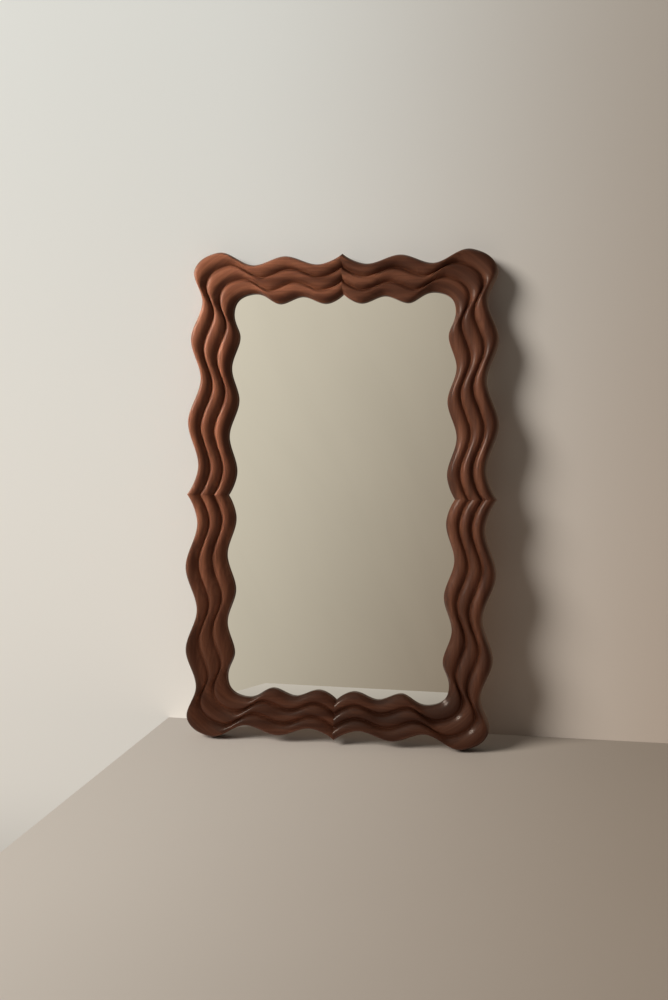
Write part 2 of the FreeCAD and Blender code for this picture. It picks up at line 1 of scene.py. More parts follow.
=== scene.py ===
# %% [markdown]
# # A carved wavy mirror
#
# The real thing is an upright mirror in a frame of stained hardwood. Three strands are carved
# side by side all the way round, and they wave together, so the frame's edges wave too. It was
# carved in four L-shaped quarters, which meet in a point in the middle of each side. The solids
# of the glass, the back and the hangers arrive ready made, and this script adds the finishes, a
# finer carving, a plain studio and the camera.

import math

import bmesh
import bpy
import numpy as np
from mathutils import Matrix, Quaternion, Vector, noise


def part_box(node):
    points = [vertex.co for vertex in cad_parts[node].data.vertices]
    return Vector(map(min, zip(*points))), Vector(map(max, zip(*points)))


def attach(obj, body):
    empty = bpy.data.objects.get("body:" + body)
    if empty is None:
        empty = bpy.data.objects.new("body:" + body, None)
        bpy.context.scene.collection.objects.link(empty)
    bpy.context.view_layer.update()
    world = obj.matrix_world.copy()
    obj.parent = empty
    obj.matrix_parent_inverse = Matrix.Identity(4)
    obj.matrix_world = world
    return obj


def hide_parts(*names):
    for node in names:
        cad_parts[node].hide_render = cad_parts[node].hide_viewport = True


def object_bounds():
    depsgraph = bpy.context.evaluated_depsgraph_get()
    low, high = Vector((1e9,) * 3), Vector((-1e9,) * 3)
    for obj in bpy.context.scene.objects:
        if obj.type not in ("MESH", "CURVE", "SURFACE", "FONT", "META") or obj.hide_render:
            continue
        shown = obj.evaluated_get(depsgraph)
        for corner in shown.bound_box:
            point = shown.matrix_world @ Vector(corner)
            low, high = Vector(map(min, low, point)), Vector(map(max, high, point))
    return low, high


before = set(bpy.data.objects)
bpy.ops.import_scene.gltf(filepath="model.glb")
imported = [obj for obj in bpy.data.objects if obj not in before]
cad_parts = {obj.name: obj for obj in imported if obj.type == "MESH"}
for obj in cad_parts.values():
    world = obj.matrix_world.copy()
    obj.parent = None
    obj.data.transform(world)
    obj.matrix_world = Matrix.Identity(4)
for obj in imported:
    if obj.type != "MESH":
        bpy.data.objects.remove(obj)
solid_low, solid_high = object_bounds()
print("solids:", len(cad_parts), "nodes, from", solid_low[:], "to", solid_high[:])

# %% [markdown]
# ## The view
#
# The camera stands a little to the right of the mirror and 2.7 m away, at about its middle. A
# lens is easiest to check against a photograph when the camera is placed first, because every
# later choice is judged through it. The aim point and the slight roll turn the camera, instead of
# three angles that say little to a reader.

# %% Camera
CAMERA_SPOT = Vector((0.529, -2.686, 0.015))
CAMERA_AIM = Vector((-0.010, -0.031, -0.0055))
CAMERA_ROLL = math.radians(1.03)
CAMERA_LENS = 50.4

camera = bpy.data.objects.new("camera", bpy.data.cameras.new("camera"))
bpy.context.scene.collection.objects.link(camera)
camera.data.lens = CAMERA_LENS
camera.location = CAMERA_SPOT
looking = (CAMERA_AIM - CAMERA_SPOT).to_track_quat("-Z", "Y")
camera.rotation_mode = "QUATERNION"
camera.rotation_quaternion = looking @ Quaternion((0, 0, 1), CAMERA_ROLL)
bpy.context.scene.camera = camera
bpy.context.scene.view_settings.view_transform = "Standard"
print("camera distance", round((CAMERA_AIM - CAMERA_SPOT).length, 3), "m")

# %% [markdown]
# ## Helpers for materials
#
# A procedural material is a small graph, and graphs are tedious to write node by node. One helper
# adds a node and feeds its inputs, each from a plain value or from another node's output. The
# others are the steps that every finish here needs: arithmetic, a mix of two colours, a noise
# pattern and a bump.

# %% One node and what feeds it


def add(tree, kind, inputs=None, **settings):
    """Adds a node. Each input is a plain value, or the output that feeds it."""
    made = tree.nodes.new(kind)
    for key, value in settings.items():
        setattr(made, key, value)
    for key, value in (inputs or {}).items():
        if isinstance(value, bpy.types.NodeSocket):
            tree.links.new(value, made.inputs[key])
        else:
            made.inputs[key].default_value = value
    return made


def finish(name, **plain):
    """New material with one Principled shader, and the plain values of its sockets."""
    made = bpy.data.materials.new(name)
    made.use_nodes = True
    shader = made.node_tree.nodes["Principled BSDF"]
    for key, value in plain.items():
        shader.inputs[key.replace("_", " ")].default_value = value
    return made, made.node_tree, shader


def feed(tree, shader, **sockets):
    """Links outputs to the shader's sockets."""
    for key, output in sockets.items():
        tree.links.new(output, shader.inputs[key.replace("_", " ")])


print("a graph is made with", [made.__name__ for made in (add, finish, feed)])

# %% Numbers and colours


def work_out(tree, operation, a, b=0.0):
    """Arithmetic on two numbers."""
    return add(tree, "ShaderNodeMath", {0: a, 1: b}, operation=operation).outputs[0]


def strongest(tree, values):
    """The largest of several numbers."""
    most = values[0]
    for value in values[1:]:
        most = work_out(tree, "MAXIMUM", most, value)
    return most


def spread(tree, value, low, high, start=0.0, end=1.0):
    """Value mapped from low..high to start..end with soft ends."""
    return add(tree, "ShaderNodeMapRange",
               {"Value": value, "From Min": low, "From Max": high, "To Min": start, "To Max": end},
               interpolation_type="SMOOTHSTEP").outputs[0]


def tint(tree, factor, first, second, blend="MIX"):
    """Mix of two colours."""
    made = add(tree, "ShaderNodeMix", {0: factor}, data_type="RGBA", blend_type=blend)
    for index, colour in ((6, first), (7, second)):
        if isinstance(colour, bpy.types.NodeSocket):
            tree.links.new(colour, made.inputs[index])
        else:
            made.inputs[index].default_value = (*colour, 1)
    return made.outputs[2]


print("values are mixed with", [made.__name__ for made in (work_out, strongest, spread, tint)])

# %% Patterns and bumps


def place(tree, scale=(1, 1, 1), turn=(0, 0, 0)):
    """The piece's own coordinates, first turned and then stretched."""
    where = add(tree, "ShaderNodeTexCoord").outputs["Object"]
    turned = add(tree, "ShaderNodeMapping", {"Vector": where, "Rotation": turn}).outputs[0]
    return add(tree, "ShaderNodeMapping", {"Vector": turned, "Scale": scale}).outputs[0]


def grains(tree, where, scale, detail=4.0, roughness=0.5, distortion=0.0):
    """Noise pattern from 0 to 1, with this many blotches to a metre."""
    return add(tree, "ShaderNodeTexNoise",
               {"Vector": where, "Scale": scale, "Detail": detail, "Roughness": roughness,
                "Distortion": distortion}).outputs[0]


def hairs_in(tree, ways):
    """Hairs that lie in several ways: for each way its stretch, its turn and how many to a
    metre."""
    return strongest(tree, [grains(tree, place(tree, scale=stretch, turn=turn), many, detail=2.0)
                            for stretch, turn, many in ways])


def bump(tree, height, depth, under=None):
    """Raises the surface by a height from 0 to 1 times depth in metres."""
    inputs = {"Height": height, "Distance": depth, "Strength": 1.0}
    if under is not None:
        inputs["Normal"] = under
    return add(tree, "ShaderNodeBump", inputs).outputs[0]


print("patterns are made with", [made.__name__ for made in (place, grains, hairs_in, bump)])

# %% [markdown]
# ## From a shape to an object
#
# A new piece is shaped as a bmesh, Blender's workbench for meshes, because a bmesh has the same
# operators as the editor's menus and can be built up step by step. At the end it is written into
# a mesh, and an object shows that mesh. The object stays at the origin: the place of the piece is
# in its mesh, as it is in the solids.

# %% Shape helper
SAME_SPOT = 1e-6


def piece_from(shape, name, shown=True):
    """Object with this shape. One that isn't shown can still cut others."""
    mesh = bpy.data.meshes.new(name)
    shape.to_mesh(mesh)
    shape.free()
    made = bpy.data.objects.new(name, mesh)
    if shown:
        bpy.context.scene.collection.objects.link(made)
    return made


print("corners within", SAME_SPOT, "m of each other are one corner")

# %% [markdown]
# ## The room
#
# The mirror stands on its back edge and leans against a wall. The solids are upright, so here it
# is the room that leans: the wall passes behind the top bumpers, and the floor passes under the
# back edge. Turning the room leaves every solid where it is. The wall is only a backdrop. It is
# seen from the front alone and throws no light or shade, so that the mirror's back can be looked
# at too.

# %% How the room leans
LEAN = math.radians(6)
UP = Vector((0, -math.sin(LEAN), math.cos(LEAN)))
INTO_WALL = Vector((0, math.cos(LEAN), math.sin(LEAN)))
ACROSS = Vector((1, 0, 0))
BACK_Y = -0.005  # the frame's flat back, as far from the wall as its bumpers are thick
FOOT = Vector((0, BACK_Y, solid_low.z))
WALL_TOUCH = Vector((0, 0, 0.45))

foot_gap = (WALL_TOUCH - FOOT).dot(INTO_WALL)
wall_foot = FOOT + INTO_WALL * foot_gap
print("gap at the foot", round(foot_gap, 4), "m")

# %% Floor and wall
FLOOR_LEFT = -0.378
# Corners of the floor: across, and out from the foot of the wall.
FLOOR_CORNERS = ((FLOOR_LEFT, 0), (FLOOR_LEFT - 0.007, 0.86), (-0.74, 2.07), (-0.864, 3.0),
                 (2.2, 2.55), (2.2, 0))
WALL_REACH = 4.0
WALL_CORNERS = ((-WALL_REACH, -WALL_REACH), (WALL_REACH, -WALL_REACH),
                (WALL_REACH, WALL_REACH), (-WALL_REACH, WALL_REACH))


def sheet_of(name, corners):
    """One flat face of the stage."""
    shape = bmesh.new()
    shape.faces.new([shape.verts.new(corner) for corner in corners])
    made = piece_from(shape, name)
    return made


floor = sheet_of("floor", [wall_foot + ACROSS * x - INTO_WALL * out for x, out in FLOOR_CORNERS])
wall = sheet_of("wall", [wall_foot + ACROSS * x + UP * z for x, z in WALL_CORNERS])
wall.visible_shadow = False
wall.visible_diffuse = False
wall.visible_glossy = False
print("wall faces the room:", wall.data.polygons[0].normal.y < 0)

# %% [markdown]
# Both surfaces are plain pale paint with light and shade painted on: the colour turns a little
# darker and warmer to the right, and a little darker towards the viewer's feet, as the light
# falls off. A picture could be hung there instead, but a mix of two colours stays smooth at every
# distance.

# %% Paint for the stage
FALLOFF_WOBBLE_LENGTH = 1.5
FALLOFF_WOBBLE_SHIFT = 0.08


def backdrop(name, left, right, turn, fade, roughness):
    """Pale paint with painted light: it turns from a lit colour to a shaded one across, and gets
    painted shade along an axis: fade is the axis, where it is darkest, where it is full and how
    dark it gets."""
    made, tree, shader = finish(name, Roughness=roughness)
    where = add(tree, "ShaderNodeSeparateXYZ", {0: place(tree)}).outputs
    falloff_wobble = work_out(tree, "MULTIPLY", grains(tree, place(tree), FALLOFF_WOBBLE_LENGTH), FALLOFF_WOBBLE_SHIFT)
    # Painted light: the colour turns to a shaded one across, on a slightly wobbling line, and is
    # darkened along an axis as painted shade.
    turned = spread(tree, work_out(tree, "ADD", where[0], falloff_wobble), *turn)
    axis, darkest, full, least = fade
    painted_shade_along = spread(tree, where[axis], darkest, full, least, 1.0)
    colour = tint(tree, 1.0, tint(tree, turned, left, right), painted_shade_along, "MULTIPLY")
    return made, tree, shader, colour


print("brushed by up to", FALLOFF_WOBBLE_SHIFT, "m")

# %% [markdown]
# The floor is duller in reflections than it is to the eye, so that the glass stays calm.

# %% Floor paint
# Painted light: pale where the floor is lit on the left, painted shade to the right and towards
# the viewer.
FLOOR_PALE = (0.690, 0.635, 0.575)
FLOOR_PAINTED_SHADE = (0.380, 0.310, 0.250)
FLOOR_PAINTED_FALLOFF = (-0.45, 0.85)
FLOOR_PAINTED_SHADE_NEAR = (1, -1.6, -0.7, 0.90)
FLOOR_SHEEN = 0.66

paint, tree, shader, colour = backdrop("floor_paint", FLOOR_PALE, FLOOR_PAINTED_SHADE, FLOOR_PAINTED_FALLOFF,
                                       FLOOR_PAINTED_SHADE_NEAR, 0.75)
glossy = add(tree, "ShaderNodeLightPath").outputs["Is Glossy Ray"]
dulled = spread(tree, glossy, 0.0, 1.0, 1.0, FLOOR_SHEEN)
feed(tree, shader, Base_Color=tint(tree, 1.0, colour, dulled, "MULTIPLY"))
floor.data.materials.append(paint)
print("floor wears", paint.name)

# %% [markdown]
# Higher up, the wall is painted a little darker and cooler, as painted shade that evens out the
# lamp's light from top to bottom. Its shader turns clear where it is seen from behind.

# %% Wall paint
# Painted light: pale where the wall is lit on the left, painted shade to the right and near the
# floor, and darker and cooler higher up.
WALL_LEFT = (0.845, 0.815, 0.765)
WALL_PAINTED_SHADE = (0.505, 0.420, 0.350)
WALL_PAINTED_FALLOFF = (-0.25, 0.85)
WALL_PAINTED_SHADE_LOW = (2, -0.98, -0.60, 0.68)
WALL_PAINTED_SHADE_HIGH = (0.825, 0.880, 0.920)
WALL_PAINTED_SHADE_SPAN = (-0.6, 1.1)

paint, tree, shader, colour = backdrop("wall_paint", WALL_LEFT, WALL_PAINTED_SHADE, WALL_PAINTED_FALLOFF,
                                       WALL_PAINTED_SHADE_LOW, 0.9)
# Painted shade higher up: darker and cooler towards the top.
height = add(tree, "ShaderNodeSeparateXYZ", {0: place(tree)}).outputs[2]
higher = tint(tree, spread(tree, height, *WALL_PAINTED_SHADE_SPAN), (1, 1, 1), WALL_PAINTED_SHADE_HIGH)
feed(tree, shader, Base_Color=tint(tree, 1.0, colour, higher, "MULTIPLY"))
behind = add(tree, "ShaderNodeNewGeometry").outputs["Backfacing"]
clear = add(tree, "ShaderNodeBsdfTransparent").outputs[0]
both = add(tree, "ShaderNodeMixShader", {0: behind, 1: shader.outputs[0], 2: clear}).outputs[0]
tree.links.new(both, tree.nodes["Material Output"].inputs["Surface"])
wall.data.materials.append(paint)
print("wall wears", paint.name)

# %% [markdown]
# ## Light
#
# Soft lamps do the work of a small studio. A large one far to the upper left lights the wall and
# the floor, and draws the mirror's shadow. A small one stands close on the left with a narrow
# beam, so the left side of the frame is lit across its strands, and the light fades towards the
# right and the bottom. A broad weak one on the right opens the hollows, and one behind shows the
# back. These only give plain light. The shine on the lacquer comes from a lamp of its own, as
# from a window on the left, and so does the shine on the metal behind. One strong lamp could do
# all of it, but then no part could be made brighter alone.

# %% Lamps
LAMP_COLOUR = (1.0, 0.97, 0.92)
SHINE_COLOUR = (1.0, 0.84, 0.70)
# Aim, azimuth, height, distance, size, power, and the beam where it is narrow.
LAMPS = {"room_lamp": ((-0.05, 0, 0), -43, 25, 8.0, 3.9, 720),
         "side_lamp": ((-0.47, 0, 0.30), -54, 12, 1.3, 0.7, 5.3, 32),
         "front_lamp": ((0, 0, 0), 52, 14, 3.0, 5.0, 20),
         "back_lamp": ((0, 0, 0), 189, 5, 3.0, 3.2, 43),
         "shine_lamp": ((0, 0, 0), -66, 26, 2.5, 0.7, 28),
         "metal_lamp": ((0, 0, 0.2), 214, 38, 2.2, 0.8, 7)}


def lamp_at(name, aim, azimuth, height, distance, size, power, beam=180):
    """Round soft lamp, placed by the direction it shines from, in degrees."""
    made = bpy.data.objects.new(name, bpy.data.lights.new(name, "AREA"))
    bpy.context.scene.collection.objects.link(made)
    made.data.shape = "DISK"
    made.data.size = size
    made.data.energy = power
    made.data.color = LAMP_COLOUR
    made.data.spread = math.radians(beam)
    made.visible_camera = False
    turn, rise = math.radians(azimuth), math.radians(height)
    towards = Vector((math.sin(turn) * math.cos(rise), -math.cos(turn) * math.cos(rise),
                      math.sin(rise)))
    made.location = Vector(aim) + towards * distance
    made.rotation_mode = "QUATERNION"
    made.rotation_quaternion = (-towards).to_track_quat("-Z", "Y")
    return made


lamps = {name: lamp_at(name, *numbers) for name, numbers in LAMPS.items()}
lamps["shine_lamp"].data.color = SHINE_COLOUR
print("lamps at", {name: [round(c, 2) for c in lamp.location] for name, lamp in lamps.items()})

# %% [markdown]
# Light linking says which lamp reaches what, as flags and barn doors do in a studio. A lamp is
# given a collection: it lights the pieces in it, or all pieces but those marked as excluded. The
# wood and the metal join their collections further on, when they are finished.

# %% What each lamp reaches
lit = {name: bpy.data.collections.new(name)
       for name in ("on_stage", "off_stage", "on_wood", "on_metal")}
for surface in (floor, wall):
    lit["on_stage"].objects.link(surface)
    lit["off_stage"].objects.link(surface)
for linked in lit["off_stage"].collection_objects:
    linked.light_linking.link_state = "EXCLUDE"

for name, reach in (("room_lamp", "on_stage"), ("side_lamp", "off_stage"),
                    ("front_lamp", "off_stage"), ("back_lamp", "off_stage"),
                    ("shine_lamp", "on_wood"), ("metal_lamp", "on_metal")):
    lamps[name].light_linking.receiver_collection = lit[reach]
    lamps[name].visible_diffuse = reach in ("on_stage", "off_stage")
    lamps[name].visible_glossy = reach != "off_stage"
print("plain light only:", [name for name, lamp in lamps.items() if not lamp.visible_glossy],
      "shine only:", [name for name, lamp in lamps.items() if not lamp.visible_diffuse])

# %% [markdown]
# The world fills the shadows. It is also what the glass and the lacquer reflect, so for the rays
# that shiny surfaces send out it is the rest of the room: bright to the left and dim to the
# right. A real room around the mirror would do the same with far more work.

# %% World
FILL_STRENGTH = 0.10
FILL_COLOUR = (1.0, 0.93, 0.86)
ROOM_BRIGHT = (0.740, 0.670, 0.545)
ROOM_DIM = (0.180, 0.130, 0.088)
ROOM_TURN = (-0.42, 0.05)
ROOM_SLANT = 0.35
BACKGROUND = (0.69, 0.655, 0.60)

world = bpy.data.worlds.new("studio")
bpy.context.scene.world = world
world.use_nodes = True
tree = world.node_tree
rays = add(tree, "ShaderNodeLightPath").outputs
direction = add(tree, "ShaderNodeTexCoord").outputs["Generated"]
split = add(tree, "ShaderNodeSeparateXYZ", {0: direction}).outputs
side = work_out(tree, "SUBTRACT", split[0], work_out(tree, "MULTIPLY", split[2], ROOM_SLANT))
room = tint(tree, spread(tree, side, *ROOM_TURN), ROOM_BRIGHT, ROOM_DIM)
shown = tint(tree, rays["Is Camera Ray"], room, BACKGROUND)
seen = strongest(tree, [rays["Is Glossy Ray"], rays["Is Transmission Ray"],
                        rays["Is Camera Ray"]])
sky = tree.nodes["Background"]
tree.links.new(tint(tree, seen, FILL_COLOUR, shown), sky.inputs["Color"])
tree.links.new(spread(tree, seen, 0.0, 1.0, FILL_STRENGTH, 1.0), sky.inputs["Strength"])
print("fill", FILL_STRENGTH)

# %% [markdown]
# ## The band's two edges
#
# Every strand follows the frame's outer edge and its sight edge, the one beside the glass, and
# lies between them. So the carving needs only these two lines. Each is a spline through its
# turning points: waves that draw in towards the corner, a rounded lobe at the corner, and a point
# in the middle of each side. Sizes are in metres, and the places of the turns are shares of the
# way to the corner.

# %% Sizes of the two edges
STILE_TURNS = (0.128, 0.332, 0.528, 0.711, 0.884)
RAIL_TURNS = (0.203, 0.479, 0.750)
HALF_WAY = 0.5
EASE = math.sin(HALF_WAY * math.pi / 2)
LOBE_STEPS = 4
STILE_PEAK_DROP = 0.0015
NECK_FILL = 0.0035

OUTER = {"reach": 0.3049, "crest": 0.4659, "stile_swing": 0.023, "rail_swing": 0.0165,
         "bow": 0.008, "lobe_rise": 0.009, "peak_rise": 0.003, "across": 0.0585,
         "up": 0.0405, "squareness": 2.0}
INNER = {"reach": 0.226, "crest": 0.389, "stile_swing": 0.0175, "rail_swing": 0.0135,
         "bow": 0.0065, "lobe_rise": 0.006, "peak_rise": 0.0045, "across": 0.049,
         "up": 0.040, "squareness": 2.5}
print("band", round(OUTER["reach"] - INNER["reach"], 4), "m wide on the stiles")

# %% Turning points of one edge


def turning_points(edge):
    """From the middle of a stile, round the corner lobe, to the middle of a rail."""
    corner_x = edge["reach"] - edge["bow"] - edge["across"]
    corner_z = edge["crest"] + edge["lobe_rise"] - edge["up"]
    peak_x = edge["reach"] - STILE_PEAK_DROP
    peak_z = edge["crest"] + edge["peak_rise"]
    points = [(peak_x, 0), (peak_x - (edge["stile_swing"] - STILE_PEAK_DROP) * EASE,
                            corner_z * STILE_TURNS[0] * HALF_WAY)]
    for turn, share in enumerate(STILE_TURNS):
        swing = edge["stile_swing"] if turn % 2 == 0 else 0
        fill = NECK_FILL if share == STILE_TURNS[-1] else 0
        points.append((edge["reach"] - edge["bow"] * share ** 2 - swing + fill, corner_z * share))
    for angle in np.linspace(0, math.pi / 2, LOBE_STEPS + 1):
        power = 2 / edge["squareness"]
        points.append((corner_x + edge["across"] * max(math.cos(angle), 0) ** power,
                       corner_z + edge["up"] * math.sin(angle) ** power))
    for turn, share in enumerate(reversed(RAIL_TURNS)):
        swing = edge["rail_swing"] if turn % 2 == 0 else 0
        points.append((corner_x * share, edge["crest"] - swing))
    points.append((corner_x * RAIL_TURNS[0] * HALF_WAY,
                   peak_z - (edge["rail_swing"] + edge["peak_rise"]) * EASE))
    return np.array(points + [(0, peak_z)])


outer_points, inner_points = turning_points(OUTER), turning_points(INNER)
strides = [np.linalg.norm(np.diff(points, axis=0), axis=1)
           for points in (outer_points, inner_points)]
stations = np.concatenate(([0], np.cumsum(sum(strides) / 2)))
print(len(stations), "turning points over", round(stations[-1], 3), "m")

# %% [markdown]
# A batten bent round pins takes the curve of a cubic spline, which is how such a template is
# drawn on the bench. Both edges are bent over the same stations, so that each place on one has
# its partner on the other.

# %% Spline through them
ROWS = 260


def batten(points):
    """Places along a cubic spline through the points, as a function of the stations."""
    last = len(stations) - 1
    gap = np.diff(stations)
    rise = np.diff(points, axis=0) / gap[:, None]
    rows, slopes = np.eye(last + 1), np.zeros_like(points)
    for k in range(1, last):
        rows[k, k - 1:k + 2] = gap[k], 2 * (gap[k - 1] + gap[k]), gap[k - 1]
        slopes[k] = 3 * (gap[k] * rise[k - 1] + gap[k - 1] * rise[k])
    for end, near in ((0, slice(0, 4)), (last, slice(last - 3, last + 1))):
        slopes[end] = np.polyfit(stations[near] - stations[end], points[near], 3)[2]
    slopes = np.linalg.solve(rows, slopes)

    def along(at):
        k = np.clip(np.searchsorted(stations, at, "right") - 1, 0, last - 1)
        share = ((at - stations[k]) / gap[k])[:, None]
        start, end = slopes[k] * gap[k][:, None], slopes[k + 1] * gap[k][:, None]
        step = points[k + 1] - points[k]
        bend = 3 * step - 2 * start - end
        return points[k] + share * (start + share * (bend + share * (start + end - 2 * step)))

    return along


row_stations = np.linspace(0, stations[-1], ROWS)
outer_line = batten(outer_points)(row_stations)
inner_line = batten(inner_points)(row_stations)
print("outer edge reaches", outer_line.max(axis=0).round(4),
      "inner", inner_line.max(axis=0).round(4))

# %% [markdown]
# ## The carved section
#
# Cut across the band, the frame steps down from the outer edge to the glass in three strands.
# Each rises steeply from the valley outside it, rounds over and falls slowly to the next valley.
# Arcs could be joined end to end, but a NURBS curve draws such a section from few points and
# stays smooth between them. Blender itself turns it into a fine line.

# %% Points that shape one strand
STRANDS = 3
SHOULDER = 0.004
STRAND_STEP = 0.0055
STRAND_RISE = 0.006
SIGHT_ROUND = 0.0015
# Share of the strand's width, and share of the way up its crest or down to the next valley.
WALL_RISE = ((0.0, 0.0), (0.0, 0.33), (0.06, 0.68), (0.20, 1.0))
VALLEY_RISE = ((0.03, 0.10), (0.12, 0.80), (0.26, 1.08))
CREST_FALL = ((0.48, 0.0), (0.70, 0.23), (0.88, 0.70))
VALLEY_FALL = (0.975, 0.98)
SIGHT_FALL = (0.965, 0.90)


def strand_points(strand):
    """Control points of one strand, as (share of the band, height before the sight edge)."""
    low = STRAND_STEP * (STRANDS - 1 - strand)
    valley = low + STRAND_STEP
    crest = valley + STRAND_RISE
    foot, rises = (SHOULDER, WALL_RISE) if strand == 0 else (valley, VALLEY_RISE)
    falls = (*CREST_FALL, SIGHT_FALL if strand == STRANDS - 1 else VALLEY_FALL)
    points = [((strand + v) / STRANDS, foot + share * (crest - foot)) for v, share in rises]
    points += [((strand + v) / STRANDS, crest - share * (crest - low)) for v, share in falls]
    if strand == STRANDS - 1:
        points += [(1, low), (1, low - SIGHT_ROUND)]
    return points


print("control points", [len(strand_points(strand)) for strand in range(STRANDS)])

# %% Section of the relief
SECTION_FINENESS = 6
CUBIC = 4


def smooth_line(points):
    """Points along a NURBS curve with these control points."""
    curve = bpy.data.curves.new("section", "CURVE")
    spline = curve.splines.new("NURBS")
    spline.points.add(len(points) - 1)
    for control, (v, height) in zip(spline.points, points):
        control.co = (v, height, 0, 1)
    spline.order_u = CUBIC
    spline.use_endpoint_u = True
    curve.resolution_u = SECTION_FINENESS
    drawn = bpy.data.objects.new("section", curve)
    mesh = bpy.data.meshes.new_from_object(drawn)
    line = [tuple(vertex.co[:2]) for vertex in mesh.vertices]
    bpy.data.objects.remove(drawn)
    return line


relief = smooth_line([point for strand in range(STRANDS) for point in strand_points(strand)])
print(len(relief), "points across the band, highest", round(max(h for v, h in relief), 4), "m")

# %% [markdown]
# The section is closed round the back, with a flat for the wall side and a small round at the
# outer edge. Each of its points also says whether it is carved, because only the carved face
# shows the hand of the carver.

# %% The closed section
SIGHT_Y = -0.031
BAND = 0.078
BACK_STEPS = 5
BACK_ROUND = 0.004
ROUND_STEPS = 6

back_height = SIGHT_Y - BACK_Y
round_share = BACK_ROUND / BAND
section = [(v, height, height > 0) for v, height in relief]
section += [(1 - (1 - round_share) * k / BACK_STEPS, back_height, False)
            for k in range(BACK_STEPS + 1)]
for k in range(1, ROUND_STEPS + 1):
    angle = math.pi / 2 * k / ROUND_STEPS
    section.append((round_share * (1 - math.sin(angle)),
                    back_height + BACK_ROUND * (1 - math.cos(angle)), False))
print(len(section), "points round the section, of which", len(relief), "at the front")

# %% [markdown]
# ## Carving a quarter
#
# A grid with one row for each place along the band is bent into shape, so that every vertex sits
# between the outer edge and the sight edge at its own share. Sweeping a profile along a curve
# would keep the strands equally wide, and these narrow and widen with the waves. A grid also
# keeps the faces in even rows along the strands, which a smooth highlight needs. The hand of the
# carver is a shallow wander in depth, the same on both sides of a joint, which only takes wood
# away.

# %% Carve the quarters
HAND_DEPTH = 0.0005
HAND_LENGTH = 0.045
HAND_SEED = 7.3


def valley_depth(v, height):
    """From 0 on a strand's crest to 1 in the valleys beside it."""
    strand = min(int(v * STRANDS), STRANDS - 1)
    low = STRAND_STEP * (STRANDS - 1 - strand)
    crest = low + STRAND_STEP + STRAND_RISE
    return min(max((crest - height) / (crest - low), 0), 1)


def carve(name, right, top):
    """One quarter before its rebates are cut: right and top are 1 or -1."""
    shape = bmesh.new()
    columns = len(section)
    bmesh.ops.create_grid(shape, x_segments=ROWS - 1, y_segments=columns, size=0.5)
    hollow = shape.verts.layers.float.new("hollow")
    for vertex in shape.verts:
        row = round((vertex.co.x + 0.5) * (ROWS - 1))
        v, height, carved = section[round((vertex.co.y + 0.5) * columns) % columns]
        x, z = outer_line[row] * (1 - v) + inner_line[row] * v
        spot = Vector((right * x, SIGHT_Y - height, top * z))
        if carved:
            wander = noise.noise(spot / HAND_LENGTH + Vector((0, HAND_SEED, 0)))
            spot.y += HAND_DEPTH * (0.5 + 0.5 * wander) * min(1, height / SHOULDER)
            vertex[hollow] = valley_depth(v, height)
        vertex.co = spot
    bmesh.ops.remove_doubles(shape, verts=shape.verts, dist=SAME_SPOT)
    bmesh.ops.holes_fill(shape, edges=[e for e in shape.edges if e.is_boundary], sides=0)
    bmesh.ops.recalc_face_normals(shape, faces=shape.faces)
    return piece_from(shape, name)


quarters = {f"{end}_{side_name}": carve(f"carved_quarter_{end}_{side_name}", right, top)
            for end, top in (("top", 1), ("bottom", -1))
            for side_name, right in (("left", -1), ("right", 1))}
print({name: len(quarter.data.polygons) for name, quarter in quarters.items()})

# %% [markdown]
# ## Rebates and dowel holes
#
# A router cuts the frame's back: one step for the glass and its tape, a wider one for the back
# board, and holes across the joints for the dowels. Cutting is what a boolean does, so plain
# boxes and rods do the same here, each a little larger than the piece that goes in.

# %% Boxes for the rebates
GLASS_CLEARANCE = 0.002
BOARD_CLEARANCE = 0.001
OVERCUT = 0.01

glass_low, glass_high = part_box("mirror_glass")
board_low, board_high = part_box("back_board")
lip_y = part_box("glazing_tape_top")[0].y


def rebate_cutter(name, low, high, clearance, front_y):
    """Box that a flat piece drops into from behind."""
    reach = Vector((high.x - low.x + 2 * clearance, BACK_Y + OVERCUT - front_y,
                    high.z - low.z + 2 * clearance))
    middle = Vector((0, front_y + reach.y / 2, 0))
    shape = bmesh.new()
    bmesh.ops.create_cube(shape, size=1, matrix=Matrix.Translation(middle) @ Matrix.Diagonal(
        (*reach, 1)))
    return piece_from(shape, name, shown=False)


rebates = [rebate_cutter("glass_rebate", glass_low, glass_high, GLASS_CLEARANCE, lip_y),
           rebate_cutter("board_rebate", board_low, board_high, BOARD_CLEARANCE, board_low.y)]
print("lip behind the sight edge at", round(lip_y, 4), "board ledge at", round(board_low.y, 4))

# %% Rods for the dowel holes
DOWEL_CLEARANCE = 0.0001
DOWEL_OVERRUN = 0.002
ROD_SIDES = 24


def dowel_cutter(name, nodes):
    """Rods along the dowels of these nodes, each node holding two of them."""
    shape = bmesh.new()
    for node in nodes:
        low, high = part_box(node)
        size = high - low
        lies_across = size.x > size.z
        radius = size.y / 2
        turned = Matrix.Rotation(math.pi / 2, 4, "Y") if lies_across else Matrix.Identity(4)
        for shift in (radius, min(size.x, size.z) - radius):
            centre = Vector((0 if lies_across else low.x + shift, low.y + radius,
                             low.z + shift if lies_across else 0))
            bmesh.ops.create_cone(
                shape, cap_ends=True, segments=ROD_SIDES, radius1=radius + DOWEL_CLEARANCE,
                radius2=radius + DOWEL_CLEARANCE,
                depth=max(size.x, size.z) + 2 * DOWEL_OVERRUN,
                matrix=Matrix.Translation(centre) @ turned)
    return piece_from(shape, name, shown=False)


rods = {name: dowel_cutter(f"dowel_holes_{name}",
                           [f"joint_dowels_{where}" for where in name.split("_")])
        for name in quarters}
print({name: len(cutter.data.polygons) for name, cutter in rods.items()}, "faces of rods")

